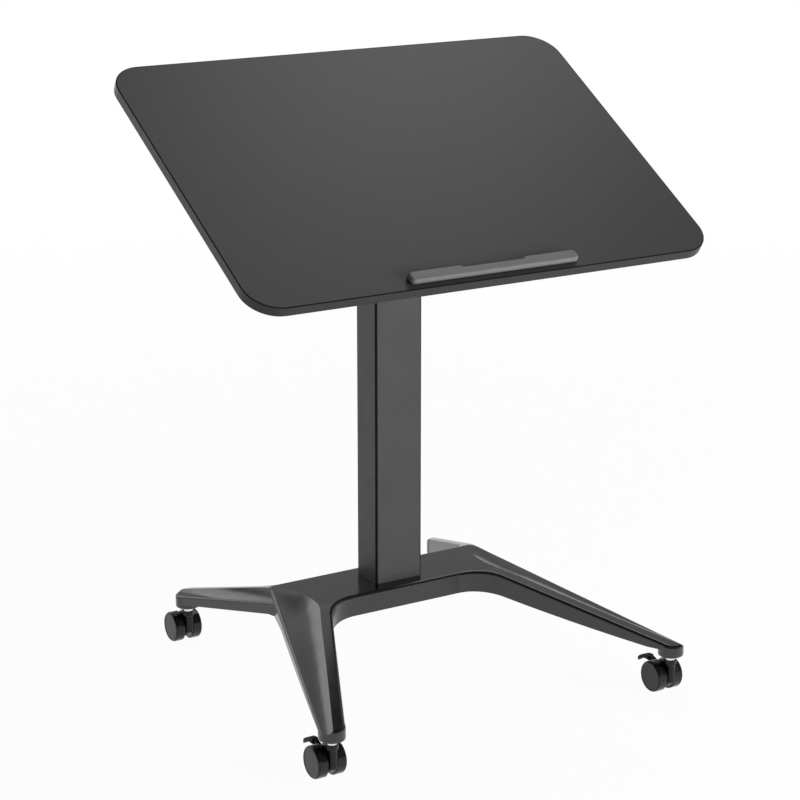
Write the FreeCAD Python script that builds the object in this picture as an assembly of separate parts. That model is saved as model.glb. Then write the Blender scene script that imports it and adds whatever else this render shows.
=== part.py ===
import FreeCAD, Part
import math
import os

os.makedirs("parts", exist_ok=True)
V = FreeCAD.Vector
X_AXIS = V(1, 0, 0)
Y_AXIS = V(0, 1, 0)
Z_AXIS = V(0, 0, 1)
ORIGIN = V(0, 0, 0)

# Driving dimensions in millimetres, drawn about the column's axis, front of the table towards -Y.
# The origin is on the floor in the middle of the footprint, so the column stands a little behind it.
COLUMN_SETBACK = 41.0

# Running and assembly clearances
FIT = 0.05
RUN_GAP = 0.3
SLIDE_GAP = 0.3

# How far apart two directions may be and still agree, for picking edges and faces
PARALLEL_DEG = 2.0
FACING_UP_DEG = 37.0
UPRIGHT_DEG = 11.5

# Table top: laminated board with a plastic edge band
TOP_WIDTH = 800.0
TOP_DEPTH = 544.0
TOP_THICK = 16.0
TOP_CORNER_R = 52.0
BAND_THICK = 2.0
BAND_ROUND = 1.2
TOP_RISE = 50.0
TOP_LEAD = 58.6
TILT_REST = 30.5

# Laptop stop: moulded bar in a shallow seat along the front of the top
STOP_LENGTH = 292.0
STOP_DEPTH = 20.0
STOP_HEIGHT = 10.0
STOP_INSET = 9.5
STOP_END_R = 8.0
STOP_ROUND = 4.0
STOP_LIP = 3.0
STOP_LIP_GAP = 2.0
STOP_SEAT = 1.0
NOTCH_WIDTH = 105.0
NOTCH_DEPTH = 6.5
STOP_SCREW_SPAN = 200.0
STOP_SCREW_R = 2.0
STOP_SCREW_BITE = 6.0

# Tilt frame: pressed steel tray with two ears
FRAME_WIDTH = 260.0
FRAME_FRONT = 115.0
FRAME_REAR = 55.0
FRAME_THICK = 3.0
FRAME_LIP = 9.0
FRAME_CORNER_R = 12.0
EAR_THICK = 4.0
EAR_R = 16.0
EAR_FRONT = 45.0
EAR_REAR = 35.0
FRAME_SCREW_X = 110.0
FRAME_SCREW_EDGE = 20.0
FRAME_SCREW_ROWS = 3
FRAME_SCREW_R = 2.0
FRAME_SCREW_BITE = 11.0
SCREW_HEAD_R = 4.0
SCREW_HEAD_H = 2.6

# Tilt shaft, washers and knob
PIVOT_HEIGHT = 828.8
SHAFT_R = 6.0
SHAFT_HEAD_FLATS = 19.0
SHAFT_HEAD_H = 8.0
SHAFT_TAIL = 22.0
WASHER_R = 12.0
WASHER_THICK = 1.2
KNOB_R = 23.0
KNOB_THICK = 18.0
KNOB_HUB_R = 12.5
KNOB_HUB_H = 10.0
KNOB_LOBES = 5
KNOB_SCALLOP_R = 9.0
KNOB_SCALLOP_OUT = 5.4
KNOB_ROUND = 2.0

# Column head on the inner tube
HEAD_DROP = 56.0
HEAD_FLANGE = 7.0
SPIGOT_DEPTH = 30.0
SPIGOT_WALL = 6.0
CHEEK_X = 30.0
CHEEK_THICK = 6.0
CHEEK_R = 22.0
CHEEK_FOOT = 50.0
LUG_THICK = 4.5
LUG_WIDTH = 13.0
HEAD_SCREW_R = 2.5
HEAD_SCREW_HEAD_R = 4.6
HEAD_SCREW_DROP = 15.0
HEAD_SCREW_X = 20.0

# Column tubes, collar and glide sleeve
TUBE_WIDTH = 85.0
TUBE_DEPTH = 60.0
TUBE_WALL = 2.0
TUBE_CORNER_R = 3.5
TUBE_LENGTH = 505.0
TUBE_GAP = 3.0
INNER_WALL = 2.0
INNER_CORNER_R = 3.5
INNER_LENGTH = 480.0
COLLAR_DEPTH = 40.0
COLLAR_FLANGE = 3.0
GLIDE_LENGTH = 40.0

# Gas spring
PLUG_HEIGHT = 25.0
GAS_R = 14.0
GAS_WALL = 1.5
GAS_LENGTH = 430.0
GAS_FLOOR = 8.0
GAS_GUIDE = 30.0
STUD_R = 5.0
STUD_NUT_FLATS = 17.0
STUD_NUT_H = 8.0
ROD_R = 5.0
ROD_LENGTH = 466.0
ROD_SHOULDER_R = 8.0
ROD_SHOULDER_H = 4.0
PISTON_H = 12.0
ROD_NUT_FLATS = 17.0
ROD_PROUD = 1.0
ROD_NUT_H = 8.0
PIN_R = 2.0
PIN_BORE = 34.0
PIN_PROUD = 6.0
PIN_LENGTH = 32.0

# Release lever under the right half of the top
LEVER_NOSE_R = 4.0
LEVER_ARM = 20.0
LEVER_WIDTH = 14.0
LEVER_THICK = 5.0
LEVER_LENGTH = 222.0
LEVER_BOSS_R = 6.0
LEVER_PIN_R = 3.0
LEVER_SWING = 7.0
GRIP_LENGTH = 95.0
GRIP_WIDTH = 32.0
GRIP_THICK = 11.0
GRIP_SOCKET = 25.0
GRIP_CORNER_R = 14.0
GRIP_ROUND = 3.0

# Cast base: crossbar, front legs and rear legs
BASE_TOP = 149.5
BASE_DROP = 33.5
BAR_DEPTH = 112.0
BASE_ROUND = 5.0
BOSS_R = 20.3
BOSS_BOTTOM = 65.2
BOSS_ROUND = 3.0
BOSS_STEP = 0.8
KNEE_INSET = 4.0
FRONT_CASTER_X = 307.8
FRONT_CASTER_Y = -348.0
REAR_CASTER_X = 246.5
REAR_CASTER_Y = 240.3
FRONT_INNER_ROOT_X = 142.0
FRONT_INNER_R = 70.0
FRONT_OUTER_ROOT_X = 198.0
FRONT_OUTER_ROOT_Y = 40.0
OUTER_CORNER_R = 10.0
REAR_INNER_ROOT_X = 181.0
REAR_INNER_R = 40.0
REAR_OUTER_ROOT_X = 208.0
REAR_OUTER_ROOT_Y = 5.0
FRONT_BREAK_Y = -64.6
FRONT_TIP_TOP = 89.5
REAR_BREAK_Y = 49.0
REAR_TIP_TOP = 94.5
BREAK_R = 150.0
FRONT_MID_BOTTOM = 93.8
FRONT_TIP_BOTTOM = 78.0
REAR_SLOPE_Y = 21.0
REAR_TIP_BOTTOM = 71.0
RIDGE_INSET = 20.7
REAR_RIDGE_INSET = 16.5
SCOOP_SAG = 0.09
SCOOP_LEAD = 2.0
SCOOP_FADE_SAG = 0.01
SCOOP_FADE_Y = 45.0
SCOOP_FADE_LIFT = 0.4
SCOOP_BELLY_Y = 3.0
SCOOP_BELLY_SHIFT = 11.0
SCOOP_BELLY_SAG = 0.03
SCOOP_NECK_Y = -38.0
SCOOP_NECK_SHIFT = 13.4
SCOOP_RUN_Y = -84.6
SCOOP_STEPS = 3
FRONT_OUTER_TIP_TOP = 80.5
REAR_OUTER_ROOT_TOP = 139.0
REAR_OUTER_TIP_TOP = 86.0
CAST_WALL = 5.0
CAST_CEILING = 23.0
RIB_THICK = 4.0
RIB_PITCH = 55.0
PAD_MARGIN = 8.0
BOLT_X = 28.0
BOLT_Y = 17.0
BOLT_R = 4.0
BOLT_HEAD_R = 6.5
BOLT_HEAD_H = 8.0
BOLT_BITE = 18.0
BASE_WEB = 14.0
STUD_POCKET_R = 12.0

# Swivel casters with twin wheels
WHEEL_R = 25.0
WHEEL_WIDTH = 17.0
WHEEL_GAP = 14.0
WHEEL_SHOULDER = 3.5
WHEEL_DISC_INSET = 0.7
WHEEL_POCKET = 3.0
WHEEL_HUB_R = 9.0
WHEEL_EDGE = 1.0
CASTER_TRAIL = 21.0
STEM_R = 5.0
STEM_DEPTH = 12.0
STEM_COLLAR_R = 8.0
STEM_COLLAR_H = 7.4
STEM_JOURNAL_R = 4.0
STEM_JOURNAL_H = 13.0
NECK_R = 9.5
NECK_H = 7.0
NECK_TAPER = 6.5
HOOD_THICK = 12.6
HOOD_NOSE = 8.5
HOOD_ROUND = 5.5
HOOD_CROWN = 49.0
HOOD_SHOULDER = 42.5
HOOD_HEEL = 15.0
HOOD_SOLE = 10.0
HOOD_TOE = 4.0
HOOD_CHIN = 20.0
AXLE_R = 3.0
WHEEL_CAP = 2.0
PEDAL_PIVOT_Y = 37.0
PEDAL_PIVOT_Z = 37.5
PEDAL_PIN_R = 2.0
PEDAL_LUG_R = 5.0
PEDAL_ARM = 6.0
PEDAL_ARM_R = 4.2
PEDAL_WIDTH = 11.0
PEDAL_REACH = 79.0
PEDAL_CREST = 46.5
PEDAL_THICK = 7.0
PEDAL_HUMP_Y = 57.0
PEDAL_PAD_Y = 48.0
PEDAL_TIP_DROP = 16.5
PEDAL_TIP_THICK = 2.5
PEDAL_CORNER_R = 3.5

# Sizes that follow from the driving dimensions
TOP_UNDER = TOP_RISE - TOP_THICK
FRAME_UNDER = TOP_UNDER - FRAME_THICK
TUBE_TOP = BASE_TOP + TUBE_LENGTH
BORE_WIDTH = TUBE_WIDTH - 2 * TUBE_WALL
BORE_DEPTH = TUBE_DEPTH - 2 * TUBE_WALL
BORE_CORNER_R = TUBE_CORNER_R - TUBE_WALL
INNER_WIDTH = BORE_WIDTH - 2 * TUBE_GAP
INNER_DEPTH = BORE_DEPTH - 2 * TUBE_GAP
HEAD_BOTTOM = PIVOT_HEIGHT - HEAD_DROP
HEAD_TOP = HEAD_BOTTOM + HEAD_FLANGE
ROD_TOP = HEAD_TOP + ROD_NUT_H + ROD_PROUD
PIN_TOP = ROD_TOP + PIN_PROUD
LEVER_Z = PIN_TOP + RUN_GAP + LEVER_NOSE_R
EAR_X = CHEEK_X + CHEEK_THICK + WASHER_THICK + 2 * RUN_GAP
OUTER_WASHER_X = EAR_X + EAR_THICK + RUN_GAP
STACK_END = OUTER_WASHER_X + WASHER_THICK
BASE_BOTTOM = BASE_TOP - BASE_DROP
BAR_HALF = BAR_DEPTH / 2
WEB_BOTTOM = BASE_TOP - BASE_WEB


def save(node, *solids):
    shape = solids[0] if len(solids) == 1 else Part.makeCompound(list(solids))
    shape = shape.copy()
    shape.translate(V(0, COLUMN_SETBACK, 0))
    shape.exportStep("parts/" + node + ".step")


def box(x0, x1, y0, y1, z0, z1):
    return Part.makeBox(x1 - x0, y1 - y0, z1 - z0, V(x0, y0, z0))


def bar(radius, start, direction, length):
    return Part.makeCylinder(radius, length, start, direction)


def hexagon_bar(flats, start, direction, length):
    turn = FreeCAD.Rotation(Z_AXIS, direction)
    corner = flats / 2 / math.cos(math.pi / 6)
    points = []
    for k in range(7):
        angle = k * math.pi / 3
        points.append(start + turn.multVec(V(corner * math.cos(angle), corner * math.sin(angle), 0)))
    return Part.Face(Part.makePolygon(points)).extrude(direction * length)


def slab(points, z0, z1):
    corners = [V(x, y, z0) for x, y in points]
    return Part.Face(Part.makePolygon(corners + corners[:1])).extrude(V(0, 0, z1 - z0))


def side_plate(points, x0, x1):
    corners = [V(x0, y, z) for y, z in points]
    return Part.Face(Part.makePolygon(corners + corners[:1])).extrude(V(x1 - x0, 0, 0))


def degrees_between(first, second):
    return math.degrees(first.getAngle(second))


def parallel(first, second):
    turn = degrees_between(first, second)
    return min(turn, 180 - turn) < PARALLEL_DEG


def edges_along(shape, direction):
    lines = [edge for edge in shape.Edges if edge.Curve.TypeId == "Part::GeomLine"]
    return [edge for edge in lines if parallel(edge.tangentAt(edge.FirstParameter), direction)]


def rim_edges(shape, direction):
    # Edges of the faces at both ends of a shape along a direction.
    edges = []
    for face in shape.Faces:
        if parallel(face.normalAt(0, 0), direction):
            edges += face.Edges
    return edges


def rounded_block(width, depth, radius, z0, z1, y_mid=0.0):
    block = box(-width / 2, width / 2, y_mid - depth / 2, y_mid + depth / 2, z0, z1)
    return block.makeFillet(radius, edges_along(block, Z_AXIS))


def turned(points, centre, axis):
    # A profile of (along, radius) points spun about an axis through the centre.
    turn = FreeCAD.Rotation(X_AXIS, axis)
    corners = [centre + turn.multVec(V(along, 0, radius)) for along, radius in points]
    return Part.Face(Part.makePolygon(corners + corners[:1])).revolve(centre, axis, 360)


def tilted(shape):
    shape = shape.copy()
    shape.rotate(ORIGIN, X_AXIS, TILT_REST)
    shape.translate(V(0, 0, PIVOT_HEIGHT))
    return shape


def mirrored(shape):
    return shape.mirror(ORIGIN, X_AXIS)


def tangent_point(x, y, cx, cy, radius, side):
    # Where the line from (x, y) touches the circle, on its left (1) or right (-1) as seen from the point.
    dx = cx - x
    dy = cy - y
    reach = math.hypot(dx, dy)
    heading = math.atan2(dy, dx) + side * math.asin(radius / reach)
    run = math.sqrt(reach * reach - radius * radius)
    return x + run * math.cos(heading), y + run * math.sin(heading)


# Table top

def stop_front():
    return -TOP_LEAD - TOP_DEPTH / 2 + STOP_INSET


def stop_block(z0, z1):
    return rounded_block(STOP_LENGTH, STOP_DEPTH, STOP_END_R, z0, z1, stop_front() + STOP_DEPTH / 2)


def stop_notch(z0, z1):
    half = NOTCH_WIDTH / 2
    back = stop_front() + STOP_DEPTH
    flare = half + NOTCH_DEPTH
    return slab([(-half, back - NOTCH_DEPTH), (half, back - NOTCH_DEPTH), (flare, back), (flare, back + 1),
                 (-flare, back + 1), (-flare, back)], z0 - 1, z1 + 1)


def stop_screw_places():
    y = stop_front() + (STOP_LIP + STOP_DEPTH - NOTCH_DEPTH) / 2
    return [V(-STOP_SCREW_SPAN / 2, y, 0), V(STOP_SCREW_SPAN / 2, y, 0)]


def laptop_stop():
    # Bar with a rounded crown on a set-in foot, notched at the back for a thumb.
    y0 = stop_front()
    floor = TOP_RISE - STOP_SEAT
    base = TOP_RISE + STOP_LIP_GAP
    crest = TOP_RISE + STOP_HEIGHT
    bar_block = stop_block(base, crest)
    crown = [edge for edge in rim_edges(bar_block, Z_AXIS) if edge.BoundBox.ZMin > base]
    body = bar_block.makeFillet(STOP_ROUND, crown)
    inset = STOP_LENGTH / 2 - STOP_LIP
    foot = stop_block(floor, base).common(box(-inset, inset, y0 + STOP_LIP, y0 + STOP_DEPTH, 0, base))
    solid = body.fuse(foot).removeSplitter().cut(stop_notch(floor, crest))
    for place in stop_screw_places():
        solid = solid.cut(bar(STOP_SCREW_R, place + V(0, 0, TOP_RISE - STOP_SEAT), Z_AXIS, STOP_SCREW_BITE))
    return solid


def stop_screws():
    screws = []
    for place in stop_screw_places():
        start = place + V(0, 0, TOP_UNDER)
        shank = bar(STOP_SCREW_R, start, Z_AXIS, TOP_THICK - STOP_SEAT + STOP_SCREW_BITE)
        head = bar(SCREW_HEAD_R, start, -Z_AXIS, SCREW_HEAD_H)
        screws.append(shank.fuse(head).removeSplitter())
    return screws


def frame_screw_places():
    front = -FRAME_FRONT + FRAME_SCREW_EDGE
    pitch = (FRAME_REAR - FRAME_SCREW_EDGE - front) / (FRAME_SCREW_ROWS - 1)
    places = []
    for side in (-1, 1):
        for row in range(FRAME_SCREW_ROWS):
            places.append(V(side * FRAME_SCREW_X, front + row * pitch, 0))
    return places


def tabletop_board():
    board = rounded_block(TOP_WIDTH - 2 * BAND_THICK, TOP_DEPTH - 2 * BAND_THICK, TOP_CORNER_R - BAND_THICK,
                          TOP_UNDER, TOP_RISE, -TOP_LEAD)
    seat = rounded_block(STOP_LENGTH + 2 * RUN_GAP, STOP_DEPTH + 2 * RUN_GAP, STOP_END_R,
                         TOP_RISE - STOP_SEAT, TOP_RISE + 1, stop_front() + STOP_DEPTH / 2)
    board = board.cut(seat)
    for place in stop_screw_places():
        board = board.cut(bar(STOP_SCREW_R + FIT, place + V(0, 0, TOP_UNDER - 1), Z_AXIS, TOP_THICK + 2))
    for place in frame_screw_places():
        board = board.cut(bar(FRAME_SCREW_R, place + V(0, 0, TOP_UNDER), Z_AXIS, FRAME_SCREW_BITE))
    return board


def edge_band():
    outer = rounded_block(TOP_WIDTH, TOP_DEPTH, TOP_CORNER_R, TOP_UNDER, TOP_RISE, -TOP_LEAD)
    outer = outer.makeFillet(BAND_ROUND, rim_edges(outer, Z_AXIS))
    inner = rounded_block(TOP_WIDTH - 2 * BAND_THICK, TOP_DEPTH - 2 * BAND_THICK, TOP_CORNER_R - BAND_THICK,
                          TOP_UNDER - 1, TOP_RISE + 1, -TOP_LEAD)
    return outer.cut(inner)


# Tilt frame, shaft and knob

def ear(x0):
    front = tangent_point(-EAR_FRONT, FRAME_UNDER, 0, 0, EAR_R, -1)
    rear = tangent_point(EAR_REAR, FRAME_UNDER, 0, 0, EAR_R, 1)
    web = side_plate([(-EAR_FRONT, FRAME_UNDER), front, (0, 0), rear, (EAR_REAR, FRAME_UNDER)],
                     x0, x0 + EAR_THICK)
    plate = web.fuse(bar(EAR_R, V(x0, 0, 0), X_AXIS, EAR_THICK)).removeSplitter()
    return plate.cut(bar(SHAFT_R + FIT, V(x0 - 1, 0, 0), X_AXIS, EAR_THICK + 2))


def tilt_frame():
    depth = FRAME_FRONT + FRAME_REAR
    middle = (FRAME_REAR - FRAME_FRONT) / 2
    tray = rounded_block(FRAME_WIDTH, depth, FRAME_CORNER_R, FRAME_UNDER - FRAME_LIP, TOP_UNDER, middle)
    hollow = box(-FRAME_WIDTH, FRAME_WIDTH, -FRAME_FRONT + FRAME_THICK, FRAME_REAR - FRAME_THICK,
                 FRAME_UNDER - FRAME_LIP - 1, FRAME_UNDER)
    frame = tray.cut(hollow)
    frame = frame.fuse([ear(EAR_X), ear(-EAR_X - EAR_THICK)]).removeSplitter()
    for place in frame_screw_places():
        frame = frame.cut(bar(FRAME_SCREW_R + FIT, place + V(0, 0, FRAME_UNDER - 1), Z_AXIS, FRAME_THICK + 2))
    return frame


def frame_screws():
    screws = []
    for place in frame_screw_places():
        start = place + V(0, 0, FRAME_UNDER)
        shank = bar(FRAME_SCREW_R, start, Z_AXIS, FRAME_THICK + FRAME_SCREW_BITE)
        head = bar(SCREW_HEAD_R, start, -Z_AXIS, SCREW_HEAD_H)
        screws.append(shank.fuse(head).removeSplitter())
    return screws


def pivot(x):
    return V(x, 0, PIVOT_HEIGHT)


def tilt_shaft():
    shank = bar(SHAFT_R, pivot(-STACK_END - SHAFT_TAIL), X_AXIS, 2 * STACK_END + SHAFT_TAIL)
    head = hexagon_bar(SHAFT_HEAD_FLATS, pivot(STACK_END), X_AXIS, SHAFT_HEAD_H)
    return shank.fuse(head).removeSplitter()


def washer(x0):
    ring = bar(WASHER_R, pivot(x0), X_AXIS, WASHER_THICK)
    return ring.cut(bar(SHAFT_R + FIT, pivot(x0 - 1), X_AXIS, WASHER_THICK + 2))


def friction_washers():
    x0 = CHEEK_X + CHEEK_THICK + RUN_GAP
    return [washer(x0), washer(-x0 - WASHER_THICK)]


def outer_washers():
    return [washer(OUTER_WASHER_X), washer(-OUTER_WASHER_X - WASHER_THICK)]


def tilt_knob():
    face = -STACK_END - RUN_GAP
    hub = bar(KNOB_HUB_R, pivot(face), -X_AXIS, KNOB_HUB_H + 1)
    star = bar(KNOB_R, pivot(face - KNOB_HUB_H), -X_AXIS, KNOB_THICK)
    star = star.makeFillet(KNOB_ROUND, rim_edges(star, X_AXIS))
    reach = KNOB_R + KNOB_SCALLOP_OUT
    for k in range(KNOB_LOBES):
        angle = 2 * math.pi * k / KNOB_LOBES
        centre = pivot(face) + V(0, reach * math.cos(angle), reach * math.sin(angle))
        star = star.cut(bar(KNOB_SCALLOP_R, centre, -X_AXIS, KNOB_HUB_H + KNOB_THICK + 1))
    knob = hub.fuse(star).removeSplitter()
    return knob.cut(bar(SHAFT_R + FIT, pivot(face + 1), -X_AXIS, SHAFT_TAIL + RUN_GAP + 1))


# Column head and release lever

def cheek(x0):
    foot = CHEEK_FOOT / 2
    floor = -HEAD_DROP + HEAD_FLANGE
    front = tangent_point(-foot, floor, 0, 0, CHEEK_R, 1)
    rear = tangent_point(foot, floor, 0, 0, CHEEK_R, -1)
    web = side_plate([(-foot, floor), (foot, floor), rear, (0, 0), front], x0, x0 + CHEEK_THICK)
    plate = web.fuse(bar(CHEEK_R, V(x0, 0, 0), X_AXIS, CHEEK_THICK)).removeSplitter()
    plate.translate(V(0, 0, PIVOT_HEIGHT))
    return plate.cut(bar(SHAFT_R + FIT, pivot(x0 - 1), X_AXIS, CHEEK_THICK + 2))


def lug(y0):
    half = LUG_WIDTH / 2
    stand = box(LEVER_ARM - half, LEVER_ARM + half, y0, y0 + LUG_THICK, HEAD_TOP, LEVER_Z)
    crown = bar(half, V(LEVER_ARM, y0, LEVER_Z), Y_AXIS, LUG_THICK)
    return stand.fuse(crown).removeSplitter()


def head_screw_places():
    places = []
    for side in (-1, 1):
        for x in (-HEAD_SCREW_X, HEAD_SCREW_X):
            places.append((V(x, side * INNER_DEPTH / 2, HEAD_BOTTOM - HEAD_SCREW_DROP), Y_AXIS * -side))
    return places


def head_screw(place, inwards, spare):
    head_h = HEAD_SCREW_HEAD_R - HEAD_SCREW_R
    cone = Part.makeCone(HEAD_SCREW_HEAD_R + spare, HEAD_SCREW_R + spare, head_h, place, inwards)
    shank = bar(HEAD_SCREW_R + spare, place, inwards, INNER_WALL + SPIGOT_WALL)
    return cone.fuse(shank).removeSplitter()


def column_head():
    flange = rounded_block(TUBE_WIDTH, TUBE_DEPTH, TUBE_CORNER_R, HEAD_BOTTOM, HEAD_TOP)
    plug_width = INNER_WIDTH - 2 * INNER_WALL - 2 * FIT
    plug_depth = INNER_DEPTH - 2 * INNER_WALL - 2 * FIT
    spigot = rounded_block(plug_width, plug_depth, INNER_CORNER_R, HEAD_BOTTOM - SPIGOT_DEPTH, HEAD_BOTTOM)
    room = box(-plug_width / 2 + SPIGOT_WALL, plug_width / 2 - SPIGOT_WALL,
               -plug_depth / 2 + SPIGOT_WALL, plug_depth / 2 - SPIGOT_WALL,
               HEAD_BOTTOM - SPIGOT_DEPTH - 1, HEAD_BOTTOM)
    lug_gap = LEVER_WIDTH / 2 + RUN_GAP
    pieces = [spigot.cut(room), cheek(CHEEK_X), cheek(-CHEEK_X - CHEEK_THICK), lug(lug_gap),
              lug(-lug_gap - LUG_THICK)]
    head = flange.fuse(pieces).removeSplitter()
    head = head.cut(bar(ROD_R + FIT, V(0, 0, HEAD_BOTTOM - 1), Z_AXIS, HEAD_FLANGE + 2))
    head = head.cut(bar(LEVER_PIN_R + FIT, V(LEVER_ARM, -TUBE_DEPTH / 2, LEVER_Z), Y_AXIS, TUBE_DEPTH))
    rise = (CHEEK_X + CHEEK_THICK - LEVER_ARM) * math.tan(math.radians(LEVER_SWING))
    low = LEVER_Z - LEVER_THICK / 2 - 2
    high = LEVER_Z + LEVER_THICK / 2 + rise + 2
    head = head.cut(box(CHEEK_X - 1, CHEEK_X + CHEEK_THICK + 1, -lug_gap - 2, lug_gap + 2, low, high))
    for place, inwards in head_screw_places():
        head = head.cut(head_screw(place, inwards, FIT))
    return head


def release_lever():
    half = LEVER_WIDTH / 2
    strip = box(0, LEVER_LENGTH, -half, half, LEVER_Z - LEVER_THICK / 2, LEVER_Z + LEVER_THICK / 2)
    nose = bar(LEVER_NOSE_R, V(0, -half, LEVER_Z), Y_AXIS, LEVER_WIDTH)
    hub = bar(LEVER_BOSS_R, V(LEVER_ARM, -half, LEVER_Z), Y_AXIS, LEVER_WIDTH)
    lever = strip.fuse([nose, hub]).removeSplitter()
    return lever.cut(bar(LEVER_PIN_R + FIT, V(LEVER_ARM, -half - 1, LEVER_Z), Y_AXIS, LEVER_WIDTH + 2))


def lever_pin():
    length = LEVER_WIDTH + 2 * RUN_GAP + 2 * LUG_THICK
    return bar(LEVER_PIN_R, V(LEVER_ARM, -length / 2, LEVER_Z), Y_AXIS, length)


def lever_grip():
    x0 = LEVER_LENGTH - GRIP_SOCKET
    low = LEVER_Z - GRIP_THICK / 2
    high = LEVER_Z + GRIP_THICK / 2
    paddle = box(x0, x0 + GRIP_LENGTH, -GRIP_WIDTH / 2, GRIP_WIDTH / 2, low, high)
    paddle = paddle.makeFillet(GRIP_CORNER_R, edges_along(paddle, Z_AXIS))
    paddle = paddle.makeFillet(GRIP_ROUND, rim_edges(paddle, Z_AXIS))
    half = LEVER_WIDTH / 2
    return paddle.cut(box(x0 - 1, LEVER_LENGTH, -half, half, LEVER_Z - LEVER_THICK / 2,
                          LEVER_Z + LEVER_THICK / 2))


# Column tubes and gas spring

def tube(width, depth, corner, wall, z0, z1):
    outer = rounded_block(width, depth, corner, z0, z1)
    return outer.cut(rounded_block(width - 2 * wall, depth - 2 * wall, corner - wall, z0 - 1, z1 + 1))


def outer_column():
    return tube(TUBE_WIDTH, TUBE_DEPTH, TUBE_CORNER_R, TUBE_WALL, BASE_TOP, TUBE_TOP)


def inner_column():
    foot = HEAD_BOTTOM - INNER_LENGTH
    shell = tube(INNER_WIDTH, INNER_DEPTH, INNER_CORNER_R, INNER_WALL, foot, HEAD_BOTTOM)
    for place, inwards in head_screw_places():
        shell = shell.cut(head_screw(place, inwards, FIT))
    return shell


def column_collar():
    hole_width = INNER_WIDTH + 2 * SLIDE_GAP
    hole_depth = INNER_DEPTH + 2 * SLIDE_GAP
    sleeve = rounded_block(BORE_WIDTH - 2 * FIT, BORE_DEPTH - 2 * FIT, BORE_CORNER_R, TUBE_TOP - COLLAR_DEPTH,
                           TUBE_TOP)
    flange = rounded_block(TUBE_WIDTH, TUBE_DEPTH, TUBE_CORNER_R, TUBE_TOP, TUBE_TOP + COLLAR_FLANGE)
    hole = rounded_block(hole_width, hole_depth, INNER_CORNER_R + SLIDE_GAP, TUBE_TOP - COLLAR_DEPTH - 1,
                         TUBE_TOP + COLLAR_FLANGE + 1)
    return sleeve.fuse(flange).removeSplitter().cut(hole)


def glide_sleeve():
    z0 = HEAD_BOTTOM - INNER_LENGTH
    outer = rounded_block(BORE_WIDTH - 2 * SLIDE_GAP, BORE_DEPTH - 2 * SLIDE_GAP, BORE_CORNER_R + SLIDE_GAP,
                          z0, z0 + GLIDE_LENGTH)
    return outer.cut(rounded_block(INNER_WIDTH + 2 * FIT, INNER_DEPTH + 2 * FIT, INNER_CORNER_R, z0 - 1,
                                   z0 + GLIDE_LENGTH + 1))


def bolt_places():
    return [V(x, y, 0) for x in (-BOLT_X, BOLT_X) for y in (-BOLT_Y, BOLT_Y)]


def column_plug():
    top = BASE_TOP + PLUG_HEIGHT
    plug = rounded_block(BORE_WIDTH - 2 * FIT, BORE_DEPTH - 2 * FIT, BORE_CORNER_R, BASE_TOP, top)
    plug = plug.cut(bar(STUD_R + FIT, V(0, 0, BASE_TOP - 1), Z_AXIS, PLUG_HEIGHT + 2))
    for place in bolt_places():
        plug = plug.cut(bar(BOLT_R + FIT, place + V(0, 0, BASE_TOP - 1), Z_AXIS, BOLT_BITE + 2))
    return plug


def column_bolts():
    bolts = []
    for place in bolt_places():
        start = place + V(0, 0, WEB_BOTTOM)
        shank = bar(BOLT_R, start, Z_AXIS, BASE_WEB + BOLT_BITE)
        head = bar(BOLT_HEAD_R, start, -Z_AXIS, BOLT_HEAD_H)
        bolts.append(shank.fuse(head).removeSplitter())
    return bolts


def gas_cylinder():
    z0 = BASE_TOP + PLUG_HEIGHT
    tail = WEB_BOTTOM - STUD_NUT_H - 1
    bore = GAS_R - GAS_WALL
    guide = GAS_LENGTH - GAS_GUIDE
    profile = [(tail - z0, 0), (tail - z0, STUD_R), (0, STUD_R), (0, GAS_R), (GAS_LENGTH, GAS_R),
               (GAS_LENGTH, ROD_R + FIT), (guide, ROD_R + FIT), (guide, bore), (GAS_FLOOR, bore),
               (GAS_FLOOR, 0)]
    return turned(profile, V(0, 0, z0), Z_AXIS)


def cylinder_nut():
    nut = hexagon_bar(STUD_NUT_FLATS, V(0, 0, WEB_BOTTOM), -Z_AXIS, STUD_NUT_H)
    return nut.cut(bar(STUD_R + FIT, V(0, 0, WEB_BOTTOM + 1), -Z_AXIS, STUD_NUT_H + 2))


def piston_rod():
    z0 = HEAD_BOTTOM - ROD_LENGTH
    piston = GAS_R - GAS_WALL - RUN_GAP
    shoulder = ROD_LENGTH - ROD_SHOULDER_H
    top = ROD_TOP - z0
    profile = [(0, 0), (0, piston), (PISTON_H, piston), (PISTON_H, ROD_R), (shoulder, ROD_R),
               (shoulder, ROD_SHOULDER_R), (ROD_LENGTH, ROD_SHOULDER_R), (ROD_LENGTH, ROD_R), (top, ROD_R),
               (top, PIN_R + FIT), (top - PIN_BORE, PIN_R + FIT), (top - PIN_BORE, 0)]
    return turned(profile, V(0, 0, z0), Z_AXIS)


def rod_nut():
    nut = hexagon_bar(ROD_NUT_FLATS, V(0, 0, HEAD_TOP), Z_AXIS, ROD_NUT_H)
    return nut.cut(bar(ROD_R + FIT, V(0, 0, HEAD_TOP - 1), Z_AXIS, ROD_NUT_H + 2))


def release_pin():
    return bar(PIN_R, V(0, 0, PIN_TOP), -Z_AXIS, PIN_LENGTH)


# Cast base

def front_strip_top(y):
    fall = (BASE_TOP - FRONT_TIP_TOP) / (FRONT_BREAK_Y - FRONT_CASTER_Y)
    return BASE_TOP - fall * (FRONT_BREAK_Y - y)


def rear_strip_top(y):
    fall = (BASE_TOP - REAR_TIP_TOP) / (REAR_CASTER_Y - REAR_BREAK_Y)
    return BASE_TOP - fall * (y - REAR_BREAK_Y)


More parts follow.
